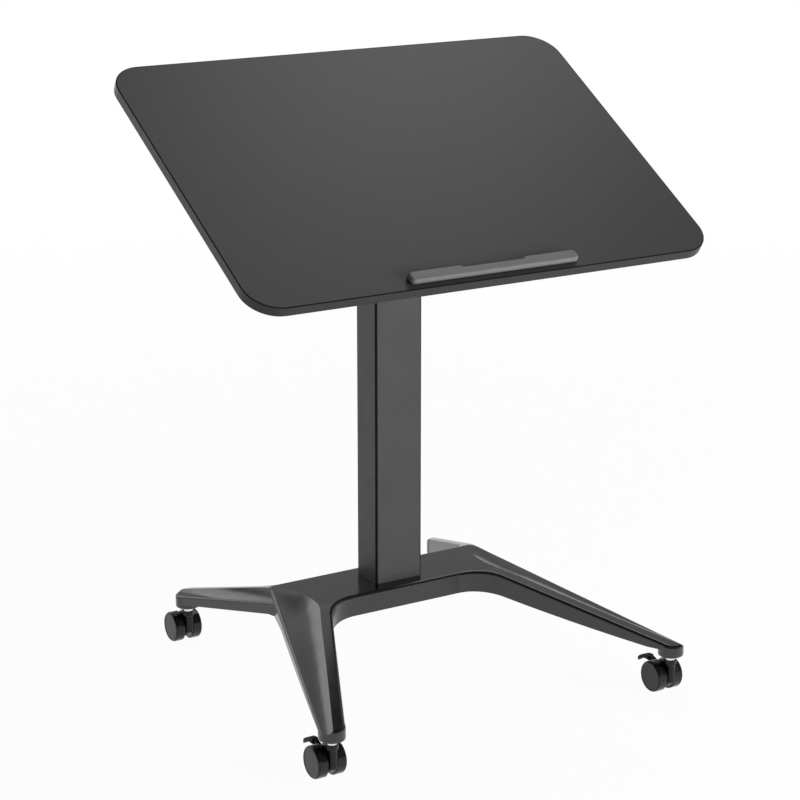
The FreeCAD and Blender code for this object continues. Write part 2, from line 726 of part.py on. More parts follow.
def corner_arc(before, corner, after, radius):
    into = (before - corner).normalize()
    out = (after - corner).normalize()
    half = into.getAngle(out) / 2
    run = radius / math.tan(half)
    start = corner + into * run
    end = corner + out * run
    bisector = (into + out).normalize()
    middle = corner + bisector * (radius / math.sin(half) - radius)
    return start, Part.Arc(start, middle, end).toShape(), end


def eased_line(first, corner, last):
    # Two lines with an arc between them where the top of a leg breaks downwards.
    start, arc, end = corner_arc(first, corner, last, BREAK_R)
    return [Part.makeLine(first, start), arc, Part.makeLine(end, last)]


def chain(*points):
    return [Part.makeLine(first, last) for first, last in zip(points, points[1:])]


def across(edges):
    # A side view closed into a face and drawn out over the whole width of the base.
    width = FRONT_CASTER_X + 2 * BOSS_R
    face = Part.Face(Part.Wire(Part.__sortEdges__(edges)))
    face.translate(V(-width, 0, 0))
    return face.extrude(V(2 * width, 0, 0))


def front_top(drop):
    tip_y = FRONT_CASTER_Y - 2 * BOSS_R
    tip = V(0, tip_y, front_strip_top(tip_y) - drop)
    corner = V(0, FRONT_BREAK_Y, BASE_TOP - drop)
    back = V(0, BAR_DEPTH, BASE_TOP - drop)
    return tip, back, eased_line(tip, corner, back)


def rear_top(drop):
    tip_y = REAR_CASTER_Y + 2 * BOSS_R
    tip = V(0, tip_y, rear_strip_top(tip_y) - drop)
    corner = V(0, REAR_BREAK_Y, BASE_TOP - drop)
    back = V(0, -BAR_DEPTH, BASE_TOP - drop)
    return tip, back, eased_line(tip, corner, back)


def front_side():
    tip, back, edges = front_top(0)
    boss_y = FRONT_CASTER_Y + BOSS_R
    knee = V(0, -BAR_HALF + KNEE_INSET, BASE_BOTTOM)
    middle = V(0, (boss_y - BAR_HALF) / 2, FRONT_MID_BOTTOM)
    boss_edge = V(0, boss_y, FRONT_TIP_BOTTOM)
    tip_foot = V(0, tip.y, FRONT_TIP_BOTTOM)
    back_foot = V(0, back.y, BASE_BOTTOM)
    edges += [Part.makeLine(tip, tip_foot), Part.makeLine(tip_foot, boss_edge),
              Part.Arc(boss_edge, middle, knee).toShape(), Part.makeLine(knee, back_foot),
              Part.makeLine(back_foot, back)]
    return across(edges)


def rear_side():
    tip, back, edges = rear_top(0)
    fall = (BASE_BOTTOM - REAR_TIP_BOTTOM) / (REAR_CASTER_Y - REAR_SLOPE_Y)
    tip_foot = V(0, tip.y, BASE_BOTTOM - fall * (tip.y - REAR_SLOPE_Y))
    knee = V(0, REAR_SLOPE_Y, BASE_BOTTOM)
    back_foot = V(0, back.y, BASE_BOTTOM)
    edges += [Part.makeLine(tip, tip_foot), Part.makeLine(tip_foot, knee), Part.makeLine(knee, back_foot),
              Part.makeLine(back_foot, back)]
    return across(edges)


def pocket_side(top):
    # Side view of the hollow underside: the top line lowered by the casting's thickness, open below.
    tip, back, edges = top(CAST_CEILING)
    tip_foot = V(0, tip.y, BOSS_BOTTOM - 1)
    back_foot = V(0, back.y, BOSS_BOTTOM - 1)
    edges += chain(tip, tip_foot, back_foot, back)
    return across(edges)


def front_tangents():
    cx = -FRONT_CASTER_X
    cy = FRONT_CASTER_Y
    half = BOSS_R - BOSS_STEP
    inner = tangent_point(-FRONT_INNER_ROOT_X, -BAR_HALF, cx, cy, half, 1)
    outer = tangent_point(-FRONT_OUTER_ROOT_X, FRONT_OUTER_ROOT_Y, cx, cy, half, -1)
    return inner, outer


def rear_tangents():
    cx = -REAR_CASTER_X
    cy = REAR_CASTER_Y
    half = BOSS_R - BOSS_STEP
    inner = tangent_point(-REAR_INNER_ROOT_X, BAR_HALF, cx, cy, half, -1)
    outer = tangent_point(-REAR_OUTER_ROOT_X, REAR_OUTER_ROOT_Y, cx, cy, half, 1)
    return inner, outer


def front_plan():
    inner, outer = front_tangents()
    inner = V(inner[0], inner[1], 0)
    outer = V(outer[0], outer[1], 0)
    root = V(-FRONT_OUTER_ROOT_X, FRONT_OUTER_ROOT_Y, 0)
    run = (outer - root).normalize()
    shoulder = root - run * ((BAR_HALF - root.y) / -run.y)
    centre_front = V(0, -BAR_HALF, 0)
    centre_rear = V(0, BAR_HALF, 0)
    inner_root = V(-FRONT_INNER_ROOT_X, -BAR_HALF, 0)
    bend = corner_arc(centre_front, inner_root, inner, FRONT_INNER_R)
    nook = corner_arc(outer, shoulder, centre_rear, OUTER_CORNER_R)
    edges = [bend[1], nook[1]] + chain(centre_front, bend[0]) + chain(nook[2], centre_rear)
    edges += chain(bend[2], inner, outer, nook[0])
    right = [edge.mirror(ORIGIN, X_AXIS) for edge in edges]
    return Part.Face(Part.Wire(Part.__sortEdges__(edges + right)))


def rear_plan():
    inner, outer = rear_tangents()
    inner = V(inner[0], inner[1], 0)
    outer = V(outer[0], outer[1], 0)
    along_bar = V(-REAR_INNER_ROOT_X + 2 * REAR_INNER_R, BAR_HALF, 0)
    root = V(-REAR_INNER_ROOT_X, BAR_HALF, 0)
    bend = corner_arc(along_bar, root, inner, REAR_INNER_R)
    heel = V(-REAR_OUTER_ROOT_X, REAR_OUTER_ROOT_Y, 0)
    sunk = V(heel.x + BOSS_R, heel.y, 0)
    inside = V(bend[0].x, bend[0].y - BOSS_R, 0)
    edges = [bend[1]] + chain(bend[2], inner, outer, heel, sunk, inside, bend[0])
    return Part.Face(Part.Wire(Part.__sortEdges__(edges)))


def clear_of_bosses(point):
    gaps = [math.hypot(point.x - x, point.y - y) for name, x, y in caster_places()]
    return min(gaps) > BOSS_R - BASE_ROUND


def top_rim(solid):
    # Edges where the top meets a side wall, apart from the cut ends inside the bosses.
    rim = []
    for edge in solid.Edges:
        middle = edge.valueAt((edge.FirstParameter + edge.LastParameter) / 2)
        lean = []
        for face in solid.ancestorsOfType(edge, Part.Face):
            u, v = face.Surface.parameter(middle)
            lean.append(degrees_between(face.normalAt(u, v), Z_AXIS))
        off_plumb = min(abs(turn - 90) for turn in lean)
        if min(lean) < FACING_UP_DEG and off_plumb < UPRIGHT_DEG and clear_of_bosses(middle):
            rim.append(edge)
    return rim


def scoop_section(y, ridge, ridge_z, wall, edge_z, sag):
    # Section of the cutter across a leg: a hollow arc from the ridge, then a rounded outer edge.
    edge = wall + BASE_ROUND
    start = V(ridge, y, ridge_z)
    end = V(edge, y, edge_z)
    chord = end - start
    dip = V(0, 0, -chord.Length * sag)
    start = start - (chord + dip * 4).normalize() * SCOOP_LEAD
    middle = (start + end) * 0.5 + dip
    bend = BASE_ROUND * math.sqrt(0.5)
    shoulder = V(edge - bend, y, edge_z - BASE_ROUND + bend)
    foot = V(wall, y, edge_z - BASE_ROUND)
    far = V(wall - BOSS_R, y, foot.z)
    far_head = V(far.x, y, 2 * BASE_TOP)
    head = V(start.x, y, 2 * BASE_TOP)
    return Part.Wire([Part.Arc(start, middle, end).toShape(), Part.Arc(end, shoulder, foot).toShape(),
                      Part.makeLine(foot, far), Part.makeLine(far, far_head), Part.makeLine(far_head, head),
                      Part.makeLine(head, start)])


def line_at(start, end, y):
    return start[0] + (end[0] - start[0]) * (y - start[1]) / (end[1] - start[1])


def front_scoop():
    inner, outer = front_tangents()
    inner_root = (-FRONT_INNER_ROOT_X, -BAR_HALF)
    outer_root = (-FRONT_OUTER_ROOT_X, FRONT_OUTER_ROOT_Y)
    tip_y = FRONT_CASTER_Y
    end_y = tip_y - 2 * BOSS_R
    fall = (BASE_TOP - FRONT_OUTER_TIP_TOP) / (FRONT_OUTER_ROOT_Y - tip_y)

    def section(y, ridge, ridge_z, lift, sag):
        edge_z = BASE_TOP - fall * (FRONT_OUTER_ROOT_Y - y) + lift
        return scoop_section(y, ridge, ridge_z + lift, line_at(outer_root, outer, y), edge_z, sag)

    def ridge_at(y):
        return line_at(inner_root, inner, y) - RIDGE_INSET

    run = ridge_at(SCOOP_RUN_Y)
    wires = [section(SCOOP_FADE_Y, run + SCOOP_BELLY_SHIFT, BASE_TOP, SCOOP_FADE_LIFT, SCOOP_FADE_SAG),
             section(SCOOP_BELLY_Y, run + SCOOP_BELLY_SHIFT, BASE_TOP, 0, SCOOP_BELLY_SAG),
             section(SCOOP_NECK_Y, run + SCOOP_NECK_SHIFT, BASE_TOP, 0, SCOOP_SAG)]
    for step in range(SCOOP_STEPS + 1):
        y = SCOOP_RUN_Y + (end_y - SCOOP_RUN_Y) * step / SCOOP_STEPS
        wires.append(section(y, ridge_at(y), front_strip_top(y), 0, SCOOP_SAG))
    return Part.makeLoft(wires, True, False)


def rear_scoop():
    inner, outer = rear_tangents()
    inner_root = (-REAR_INNER_ROOT_X, BAR_HALF)
    outer_root = (-REAR_OUTER_ROOT_X, REAR_OUTER_ROOT_Y)
    fall = (REAR_OUTER_ROOT_TOP - REAR_OUTER_TIP_TOP) / (REAR_CASTER_Y - REAR_OUTER_ROOT_Y)
    wires = []
    for y in (REAR_OUTER_ROOT_Y - BOSS_R, REAR_CASTER_Y + 2 * BOSS_R):
        ridge = line_at(inner_root, inner, y) - REAR_RIDGE_INSET
        edge_z = REAR_OUTER_ROOT_TOP - fall * (y - REAR_OUTER_ROOT_Y)
        wall = line_at(outer_root, outer, y)
        wires.append(scoop_section(y, ridge, rear_strip_top(y), wall, edge_z, SCOOP_SAG))
    return Part.makeLoft(wires, True, True)


def caster_places():
    return [("front_left", -FRONT_CASTER_X, FRONT_CASTER_Y), ("front_right", FRONT_CASTER_X, FRONT_CASTER_Y),
            ("rear_left", -REAR_CASTER_X, REAR_CASTER_Y), ("rear_right", REAR_CASTER_X, REAR_CASTER_Y)]


def above(top):
    tip, back, edges = top(0)
    tip_head = V(0, tip.y, 2 * BASE_TOP)
    back_head = V(0, back.y, 2 * BASE_TOP)
    edges += chain(tip, tip_head, back_head, back)
    return across(edges)


def boss(x, y, top):
    # Round boss at a leg's end: rounded foot, sloping top with a rounded rim and the leg's scoop.
    post = bar(BOSS_R, V(x, y, BOSS_BOTTOM), Z_AXIS, BASE_TOP)
    post.rotate(V(x, y, 0), Z_AXIS, math.degrees(math.atan2(-y, -x)))
    post = post.makeFillet(BOSS_ROUND, [edge for edge in post.Edges if edge.BoundBox.ZMax < BOSS_BOTTOM + 1])
    post = post.cut(above(top))
    rim = [edge for edge in post.Edges if edge.Curve.TypeId == "Part::GeomEllipse"]
    post = post.makeFillet(BASE_ROUND, rim)
    cutter = front_scoop() if y < 0 else rear_scoop()
    return post.cut(mirrored(cutter) if x > 0 else cutter)


def hollow(plan, top, ribs):
    # Underside pocket of a casting: its plan drawn in by the wall, with ribs and solid parts left standing.
    inside = plan.makeOffset2D(-CAST_WALL)
    pocket = inside.extrude(V(0, 0, 2 * BASE_TOP)).common(pocket_side(top))
    return pocket.cut(ribs)


def leg_ribs():
    reach = FRONT_CASTER_X + BOSS_R
    ribs = []
    y = -BAR_HALF - RIB_PITCH / 2
    while y > FRONT_CASTER_Y:
        ribs.append(box(-reach, reach, y, y + RIB_THICK, 0, BASE_TOP))
        y -= RIB_PITCH
    y = BAR_HALF
    while y < REAR_CASTER_Y:
        ribs.append(box(-reach, reach, y, y + RIB_THICK, 0, BASE_TOP))
        y += RIB_PITCH
    return ribs


def pad_block():
    half_x = TUBE_WIDTH / 2 + PAD_MARGIN
    return box(-half_x, half_x, -BAR_HALF, BAR_HALF, 0, BASE_TOP)


def boss_core(x, y):
    return bar(BOSS_R + CAST_WALL, V(x, y, 0), Z_AXIS, BASE_TOP)


def front_half():
    # Left front leg with its half of the crossbar.
    legs = front_plan().extrude(V(0, 0, 2 * BASE_TOP)).common(front_side())
    legs = legs.makeFillet(BASE_ROUND, top_rim(legs))
    reach = FRONT_CASTER_X + 2 * BOSS_R
    half = legs.common(box(-reach, 0, FRONT_CASTER_Y - BOSS_R, BAR_DEPTH, 0, 2 * BASE_TOP))
    return half.cut(front_scoop())


def rear_leg():
    leg = rear_plan().extrude(V(0, 0, 2 * BASE_TOP)).common(rear_side())
    rim = [edge for edge in top_rim(leg) if edge.BoundBox.YMax > BAR_HALF]
    leg = leg.makeFillet(BASE_ROUND, rim)
    return leg.cut([rear_scoop(), front_plan().extrude(V(0, 0, 2 * BASE_TOP))])


def base_casting():
    left = front_half().fuse(rear_leg())
    posts = [boss(x, y, front_top if y < 0 else rear_top) for name, x, y in caster_places()]
    base = left.fuse([mirrored(left)] + posts).removeSplitter()
    keep = leg_ribs() + [pad_block()] + [boss_core(x, y) for name, x, y in caster_places()]
    rear_pocket = hollow(rear_plan(), rear_top, keep)
    base = base.cut([hollow(front_plan(), front_top, keep), rear_pocket, mirrored(rear_pocket)])
    for place in bolt_places():
        base = base.cut(bar(BOLT_R + FIT, place + V(0, 0, WEB_BOTTOM - 1), Z_AXIS, BASE_WEB + 2))
        base = base.cut(bar(BOLT_HEAD_R + 1, place + V(0, 0, 0), Z_AXIS, WEB_BOTTOM))
    base = base.cut(bar(STUD_R + FIT, V(0, 0, WEB_BOTTOM - 1), Z_AXIS, BASE_WEB + 2))
    base = base.cut(bar(STUD_POCKET_R, V(0, 0, 0), Z_AXIS, WEB_BOTTOM))
    for name, x, y in caster_places():
        base = base.cut(bar(STEM_R + FIT, V(x, y, BOSS_BOTTOM - 1), Z_AXIS, STEM_DEPTH + 2))
    return base


# Casters, drawn with the swivel axis at the origin and the floor at zero

def caster_stem():
    top = BOSS_BOTTOM + STEM_DEPTH
    collar = BOSS_BOTTOM - STEM_COLLAR_H
    journal = collar - STEM_JOURNAL_H
    profile = [(journal, 0), (journal, STEM_JOURNAL_R), (collar, STEM_JOURNAL_R), (collar, STEM_COLLAR_R),
               (BOSS_BOTTOM, STEM_COLLAR_R), (BOSS_BOTTOM, STEM_R), (top, STEM_R), (top, 0)]
    return turned(profile, ORIGIN, Z_AXIS)


def hood_top():
    return BOSS_BOTTOM - STEM_COLLAR_H - RUN_GAP


def axle_place():
    return V(0, CASTER_TRAIL, WHEEL_R)


def pedal_pivot():
    return V(0, PEDAL_PIVOT_Y, PEDAL_PIVOT_Z)


def caster_hood(braked):
    # Moulded web between the wheels with a round neck; a braked one has a fork for the pedal.
    top = hood_top()
    half = HOOD_THICK / 2
    rear = PEDAL_PIVOT_Y - PEDAL_LUG_R
    outline = [(-HOOD_NOSE, top), (NECK_R, top), (rear - HOOD_ROUND, HOOD_CROWN), (rear, HOOD_SHOULDER),
               (rear, HOOD_HEEL), (CASTER_TRAIL, HOOD_SOLE), (HOOD_TOE, HOOD_SOLE), (-HOOD_NOSE, HOOD_CHIN)]
    web = side_plate(outline, -half, half)
    web = web.makeFillet(HOOD_ROUND, rim_edges(web, X_AXIS))
    neck = turned([(top - NECK_H - NECK_TAPER, 0), (top - NECK_H - NECK_TAPER, half), (top - NECK_H, NECK_R),
                   (top, NECK_R), (top, 0)], ORIGIN, Z_AXIS)
    hood = web.fuse(neck)
    if braked:
        hood = hood.fuse(pedal_fork(half))
    hood = hood.removeSplitter()
    hood = hood.cut(bar(STEM_JOURNAL_R + FIT, V(0, 0, top + 1), -Z_AXIS, STEM_JOURNAL_H + RUN_GAP + 1))
    return hood.cut(bar(AXLE_R + FIT, axle_place() - X_AXIS * WHEEL_GAP, X_AXIS, 2 * WHEEL_GAP))


def pedal_fork(half):
    lugs = []
    gap = PEDAL_ARM / 2 + RUN_GAP
    reach = PEDAL_PIVOT_Y - PEDAL_LUG_R - HOOD_ROUND
    for x0 in (gap, -half):
        lug_root = box(x0, x0 + half - gap, reach, PEDAL_PIVOT_Y, PEDAL_PIVOT_Z - PEDAL_LUG_R,
                       PEDAL_PIVOT_Z + PEDAL_LUG_R)
        lug_eye = bar(PEDAL_LUG_R, V(x0, PEDAL_PIVOT_Y, PEDAL_PIVOT_Z), X_AXIS, half - gap)
        eye = bar(PEDAL_PIN_R, V(x0 - 1, PEDAL_PIVOT_Y, PEDAL_PIVOT_Z), X_AXIS, half)
        lugs.append(lug_root.fuse(lug_eye).removeSplitter().cut(eye))
    return lugs


def brake_pin():
    return bar(PEDAL_PIN_R, pedal_pivot() - X_AXIS * (HOOD_THICK / 2), X_AXIS, HOOD_THICK)


def caster_axle():
    half = WHEEL_GAP / 2 + WHEEL_WIDTH - WHEEL_CAP - RUN_GAP
    return bar(AXLE_R, axle_place() - X_AXIS * half, X_AXIS, 2 * half)


def wheel():
    # Right-hand wheel: tread with rounded shoulders, a dished outer face and a pocket on the inner face.
    inner = WHEEL_GAP / 2
    outer = inner + WHEEL_WIDTH
    face = outer - WHEEL_DISC_INSET
    hub = WHEEL_HUB_R
    rim = WHEEL_R - 2 * WHEEL_SHOULDER
    lip = WHEEL_R - WHEEL_SHOULDER
    bend = WHEEL_SHOULDER * math.sqrt(0.5)
    centre = axle_place()

    def at(along, radius):
        return centre + V(along, 0, radius)

    edges = [Part.Arc(at(outer - WHEEL_SHOULDER, WHEEL_R), at(outer - WHEEL_SHOULDER + bend, lip + bend),
                      at(outer, lip)).toShape()]
    floor = inner + WHEEL_POCKET
    blind = outer - WHEEL_CAP
    bore = AXLE_R + FIT
    points = [(outer, lip), (face, lip - WHEEL_DISC_INSET), (face, 0), (blind, 0), (blind, bore),
              (inner, bore), (inner, hub), (floor, hub), (floor, rim), (inner, rim),
              (inner, WHEEL_R - WHEEL_EDGE), (inner + WHEEL_EDGE, WHEEL_R), (outer - WHEEL_SHOULDER, WHEEL_R)]
    for first, last in zip(points, points[1:]):
        edges.append(Part.makeLine(at(*first), at(*last)))
    return Part.Face(Part.Wire(edges)).revolve(centre, X_AXIS, 360)


def pedal_side():
    # Side view of the pedal: humped top, curled-down tip, underside that follows the top.
    root_top = V(0, PEDAL_PIVOT_Y - PEDAL_ARM_R / 2, PEDAL_PIVOT_Z + PEDAL_ARM_R)
    hump = V(0, PEDAL_HUMP_Y, PEDAL_CREST)
    tip_top = V(0, PEDAL_REACH + PEDAL_TIP_THICK, PEDAL_CREST - PEDAL_TIP_DROP)
    tip_under = V(0, PEDAL_REACH + PEDAL_TIP_THICK / 2, tip_top.z - PEDAL_TIP_THICK)
    under = V(0, PEDAL_HUMP_Y, PEDAL_CREST - PEDAL_THICK)
    root_under = V(0, PEDAL_PIVOT_Y + PEDAL_ARM_R / 2, PEDAL_PIVOT_Z - PEDAL_ARM_R / 2)
    edges = [Part.Arc(root_top, hump, tip_top).toShape(), Part.Arc(tip_under, under, root_under).toShape()]
    edges += chain(tip_top, tip_under) + chain(root_under, root_top)
    return Part.Face(Part.Wire(Part.__sortEdges__(edges)))


def pedal_slice(width, plan):
    side = pedal_side()
    side.translate(V(-width / 2, 0, 0))
    return side.extrude(V(width, 0, 0)).common(plan)


def brake_pedal():
    # Narrow arm on its pin, widening to a pad with rounded corners behind the wheels.
    high = 2 * PEDAL_CREST
    run = PEDAL_REACH - PEDAL_PAD_Y
    hub = bar(PEDAL_ARM_R, pedal_pivot() - X_AXIS * (PEDAL_ARM / 2), X_AXIS, PEDAL_ARM)
    arm = pedal_slice(PEDAL_ARM, box(-PEDAL_ARM, PEDAL_ARM, 0, PEDAL_PAD_Y + run / 2, 0, high))
    pad_plan = rounded_block(PEDAL_WIDTH, run, PEDAL_CORNER_R, 0, high, PEDAL_PAD_Y + run / 2)
    pad = pedal_slice(2 * PEDAL_WIDTH, pad_plan)
    pedal = hub.fuse([arm, pad]).removeSplitter()
    return pedal.cut(bar(PEDAL_PIN_R + FIT, pedal_pivot() - X_AXIS * PEDAL_ARM, X_AXIS, 2 * PEDAL_ARM))


def build_casters():
    stem = caster_stem()
    axle = caster_axle()
    right = wheel()
    pieces = {"stem": stem, "axle": axle, "right_wheel": right, "left_wheel": mirrored(right)}
    for name, x, y in caster_places():
        fitted = dict(pieces)
        fitted["hood"] = caster_hood(y < 0)
        if y < 0:
            fitted["brake"] = brake_pedal()
            fitted["brake_pin"] = brake_pin()
        for piece, shape in fitted.items():
            placed = shape.copy()
            placed.translate(V(x, y, 0))
            save(name + "_" + piece, placed)


save("tabletop_board", tilted(tabletop_board()))
save("edge_band", tilted(edge_band()))
save("laptop_stop", tilted(laptop_stop()))
save("stop_screws", *[tilted(screw) for screw in stop_screws()])
save("tilt_frame", tilted(tilt_frame()))
save("frame_screws", *[tilted(screw) for screw in frame_screws()])
save("tilt_shaft", tilt_shaft())
save("friction_washers", *friction_washers())
save("outer_washers", *outer_washers())
save("tilt_knob", tilt_knob())
save("column_head", column_head())
save("head_screws", *[head_screw(place, inwards, 0) for place, inwards in head_screw_places()])
save("release_lever", release_lever())
save("lever_pin", lever_pin())
save("lever_grip", lever_grip())
save("release_pin", release_pin())
save("rod_nut", rod_nut())
save("piston_rod", piston_rod())
save("inner_column", inner_column())
save("glide_sleeve", glide_sleeve())
save("column_collar", column_collar())
save("outer_column", outer_column())
save("gas_cylinder", gas_cylinder())
save("cylinder_nut", cylinder_nut())
save("column_plug", column_plug())
save("column_bolts", *column_bolts())
save("base_casting", base_casting())
build_casters()
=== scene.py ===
from math import cos, radians, sin

import bpy
from mathutils import Matrix, Vector


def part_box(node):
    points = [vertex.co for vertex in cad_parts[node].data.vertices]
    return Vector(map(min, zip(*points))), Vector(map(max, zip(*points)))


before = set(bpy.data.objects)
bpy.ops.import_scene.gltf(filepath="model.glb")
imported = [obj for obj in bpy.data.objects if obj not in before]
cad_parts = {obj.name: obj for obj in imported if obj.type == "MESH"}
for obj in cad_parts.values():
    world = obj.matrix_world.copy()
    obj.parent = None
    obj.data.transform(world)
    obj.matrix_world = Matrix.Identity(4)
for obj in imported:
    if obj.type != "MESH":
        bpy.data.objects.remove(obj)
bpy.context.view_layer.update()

# Cast base: one aluminium casting with a crossbar, two front legs, two rear legs and a boss at each end.
# It is shot-blasted and sprayed with semi-gloss black paint, which shows a fine orange peel
# and thins where it was rubbed on the ridges and rims.


def add_node(tree, kind, **values):
    # A value goes to the node's setting of that name, or else to its socket, with _ for a space.
    node = tree.nodes.new(kind)
    for key, value in values.items():
        if hasattr(node, key):
            setattr(node, key, value)
        else:
            node.inputs[key.replace("_", " ")].default_value = value
    return node


def new_material(name, colour, specular):
    material = bpy.data.materials.new(name)
    material.use_nodes = True
    material.diffuse_color = (*colour, 1)
    tree = material.node_tree
    shader = tree.nodes["Principled BSDF"]
    shader.inputs["Specular IOR Level"].default_value = specular
    place = add_node(tree, "ShaderNodeTexCoord")
    return material, tree, shader, place


def noise(tree, place, scale, detail=4):
    cloud = add_node(tree, "ShaderNodeTexNoise", Scale=scale, Detail=detail, Roughness=0.55)
    tree.links.new(place.outputs["Object"], cloud.inputs["Vector"])
    return cloud.outputs["Fac"]


def two_tone(tree, mask, first, second, low=0.35, high=0.65):
    # Goes from the first colour to the second as the mask rises from low to high.
    ramp = add_node(tree, "ShaderNodeValToRGB")
    start, end = ramp.color_ramp.elements
    start.position = low
    start.color = (*first, 1)
    end.position = high
    end.color = (*second, 1)
    tree.links.new(mask, ramp.inputs["Fac"])
    return ramp.outputs["Color"]


def drifting(tree, place, colour, scale, amount):
    # The colour, a little darker and lighter from place to place.
    darker = [channel * (1 - amount) for channel in colour]
    lighter = [channel * (1 + amount) for channel in colour]
    return two_tone(tree, noise(tree, place, scale), darker, lighter)


def overlay(tree, mask, under, over):
    # Lays one colour over another as the mask goes from 0 to 1.
    blend = add_node(tree, "ShaderNodeMix", data_type="RGBA")
    colours = [socket for socket in blend.inputs if socket.type == "RGBA"]
    tree.links.new(mask, blend.inputs["Factor"])
    tree.links.new(under, colours[0])
    colours[1].default_value = (*over, 1)
    return [socket for socket in blend.outputs if socket.type == "RGBA"][0]


def patchy_roughness(tree, place, shader, scale, low, high):
    spread = add_node(tree, "ShaderNodeMapRange", From_Min=0.3, From_Max=0.7, To_Min=low, To_Max=high)
    tree.links.new(noise(tree, place, scale, detail=6), spread.inputs["Value"])
    tree.links.new(spread.outputs["Result"], shader.inputs["Roughness"])
    return spread.outputs["Result"]


def grain(tree, place, shader, scale, depth, strength, softened=0.0):
    # Fine surface texture; softened is the radius by which hard rims look rounded.
    bump = add_node(tree, "ShaderNodeBump", Strength=strength, Distance=depth)
    tree.links.new(noise(tree, place, scale, detail=3), bump.inputs["Height"])
    if softened:
        rim = add_node(tree, "ShaderNodeBevel", samples=6, Radius=softened)
        tree.links.new(rim.outputs["Normal"], bump.inputs["Normal"])
    tree.links.new(bump.outputs["Normal"], shader.inputs["Normal"])


def rubbed_edges(tree, place, radius, breakup):
    # Mask that rises on sharp rims, to half at most, and is broken up by noise of the scale breakup.
    rim = add_node(tree, "ShaderNodeBevel", samples=6, Radius=radius)
    face = add_node(tree, "ShaderNodeNewGeometry")
    turn = add_node(tree, "ShaderNodeVectorMath", operation="DOT_PRODUCT")
    edge = add_node(tree, "ShaderNodeMapRange", From_Min=0.92, From_Max=0.72, To_Min=0.0, To_Max=0.5)
    broken = add_node(tree, "ShaderNodeMath", operation="MULTIPLY")
    tree.links.new(rim.outputs["Normal"], turn.inputs[0])
    tree.links.new(face.outputs["Normal"], turn.inputs[1])
    tree.links.new(turn.outputs["Value"], edge.inputs["Value"])
    tree.links.new(edge.outputs["Result"], broken.inputs[0])
    tree.links.new(noise(tree, place, breakup), broken.inputs[1])
    return broken.outputs["Value"]


def coat(material, *names):
    for name in names:
        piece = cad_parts[name]
        piece.data.materials.clear()
        piece.data.materials.append(material)


base_black = (0.005, 0.005, 0.0052)
rubbed_black = (0.02, 0.02, 0.0204)
base_paint, tree, shader, place = new_material("base_semi_gloss_black", base_black, specular=0.7)
sprayed = drifting(tree, place, base_black, scale=9, amount=0.10)
ridges = rubbed_edges(tree, place, radius=0.0007, breakup=160)
tree.links.new(overlay(tree, ridges, sprayed, rubbed_black), shader.inputs["Base Color"])
patchy_roughness(tree, place, shader, scale=30, low=0.17, high=0.24)
grain(tree, place, shader, scale=450, depth=0.0001, strength=0.008)
shader.inputs["Coat Weight"].default_value = 0.10
shader.inputs["Coat Roughness"].default_value = 0.12
coat(base_paint, "base_casting")

# Casters: a zinc-plated stem in each boss, a moulded black hood, a steel axle and two nylon wheels.
# The front pair carries a foot brake, a pedal on a small pin in the fork of the hood.
# The hood is a semi-gloss moulding and the pedal a dull one; the wheels are smooth, with faint scuffs.

caster_black = (0.004, 0.004, 0.0043)
worn_plastic = (0.02, 0.02, 0.0205)
caster_plastic, tree, shader, place = new_material("caster_moulded_black", caster_black, specular=0.3)
moulded = drifting(tree, place, caster_black, scale=60, amount=0.15)
rims = rubbed_edges(tree, place, radius=0.0006, breakup=300)
tree.links.new(overlay(tree, rims, moulded, worn_plastic), shader.inputs["Base Color"])
patchy_roughness(tree, place, shader, scale=150, low=0.24, high=0.36)
grain(tree, place, shader, scale=1800, depth=0.0001, strength=0.10, softened=0.0008)

wheel_black = (0.004, 0.004, 0.0043)
scuffed_nylon = (0.012, 0.012, 0.012)
wheel_nylon, tree, shader, place = new_material("wheel_black_nylon", wheel_black, specular=0.36)
scuffs = noise(tree, place, scale=110, detail=8)
scuffed = two_tone(tree, scuffs, wheel_black, scuffed_nylon, low=0.52, high=0.72)
tree.links.new(scuffed, shader.inputs["Base Color"])
patchy_roughness(tree, place, shader, scale=220, low=0.16, high=0.28)
grain(tree, place, shader, scale=2400, depth=0.0001, strength=0.05, softened=0.0006)

pedal_black = (0.003, 0.003, 0.0032)
pedal_plastic, tree, shader, place = new_material("pedal_dull_black", pedal_black, specular=0.15)
moulded = drifting(tree, place, pedal_black, scale=90, amount=0.2)
rims = rubbed_edges(tree, place, radius=0.0005, breakup=300)
tree.links.new(overlay(tree, rims, moulded, worn_plastic), shader.inputs["Base Color"])
patchy_roughness(tree, place, shader, scale=260, low=0.42, high=0.56)
grain(tree, place, shader, scale=2600, depth=0.0001, strength=0.12, softened=0.0005)

plated_grey = (0.82, 0.82, 0.83)
plated_steel, tree, shader, place = new_material("plated_steel", plated_grey, specular=0.5)
tree.links.new(drifting(tree, place, plated_grey, scale=120, amount=0.06), shader.inputs["Base Color"])
patchy_roughness(tree, place, shader, scale=300, low=0.18, high=0.32)
grain(tree, place, shader, scale=900, depth=0.0001, strength=0.06, softened=0.0004)
shader.inputs["Metallic"].default_value = 1.0

for corner in ("front_left", "front_right", "rear_left", "rear_right"):
    coat(plated_steel, corner + "_stem", corner + "_axle")
    coat(caster_plastic, corner + "_hood")
    coat(wheel_nylon, corner + "_left_wheel", corner + "_right_wheel")
    if corner.startswith("front"):
        coat(pedal_plastic, corner + "_brake")
        coat(plated_steel, corner + "_brake_pin")
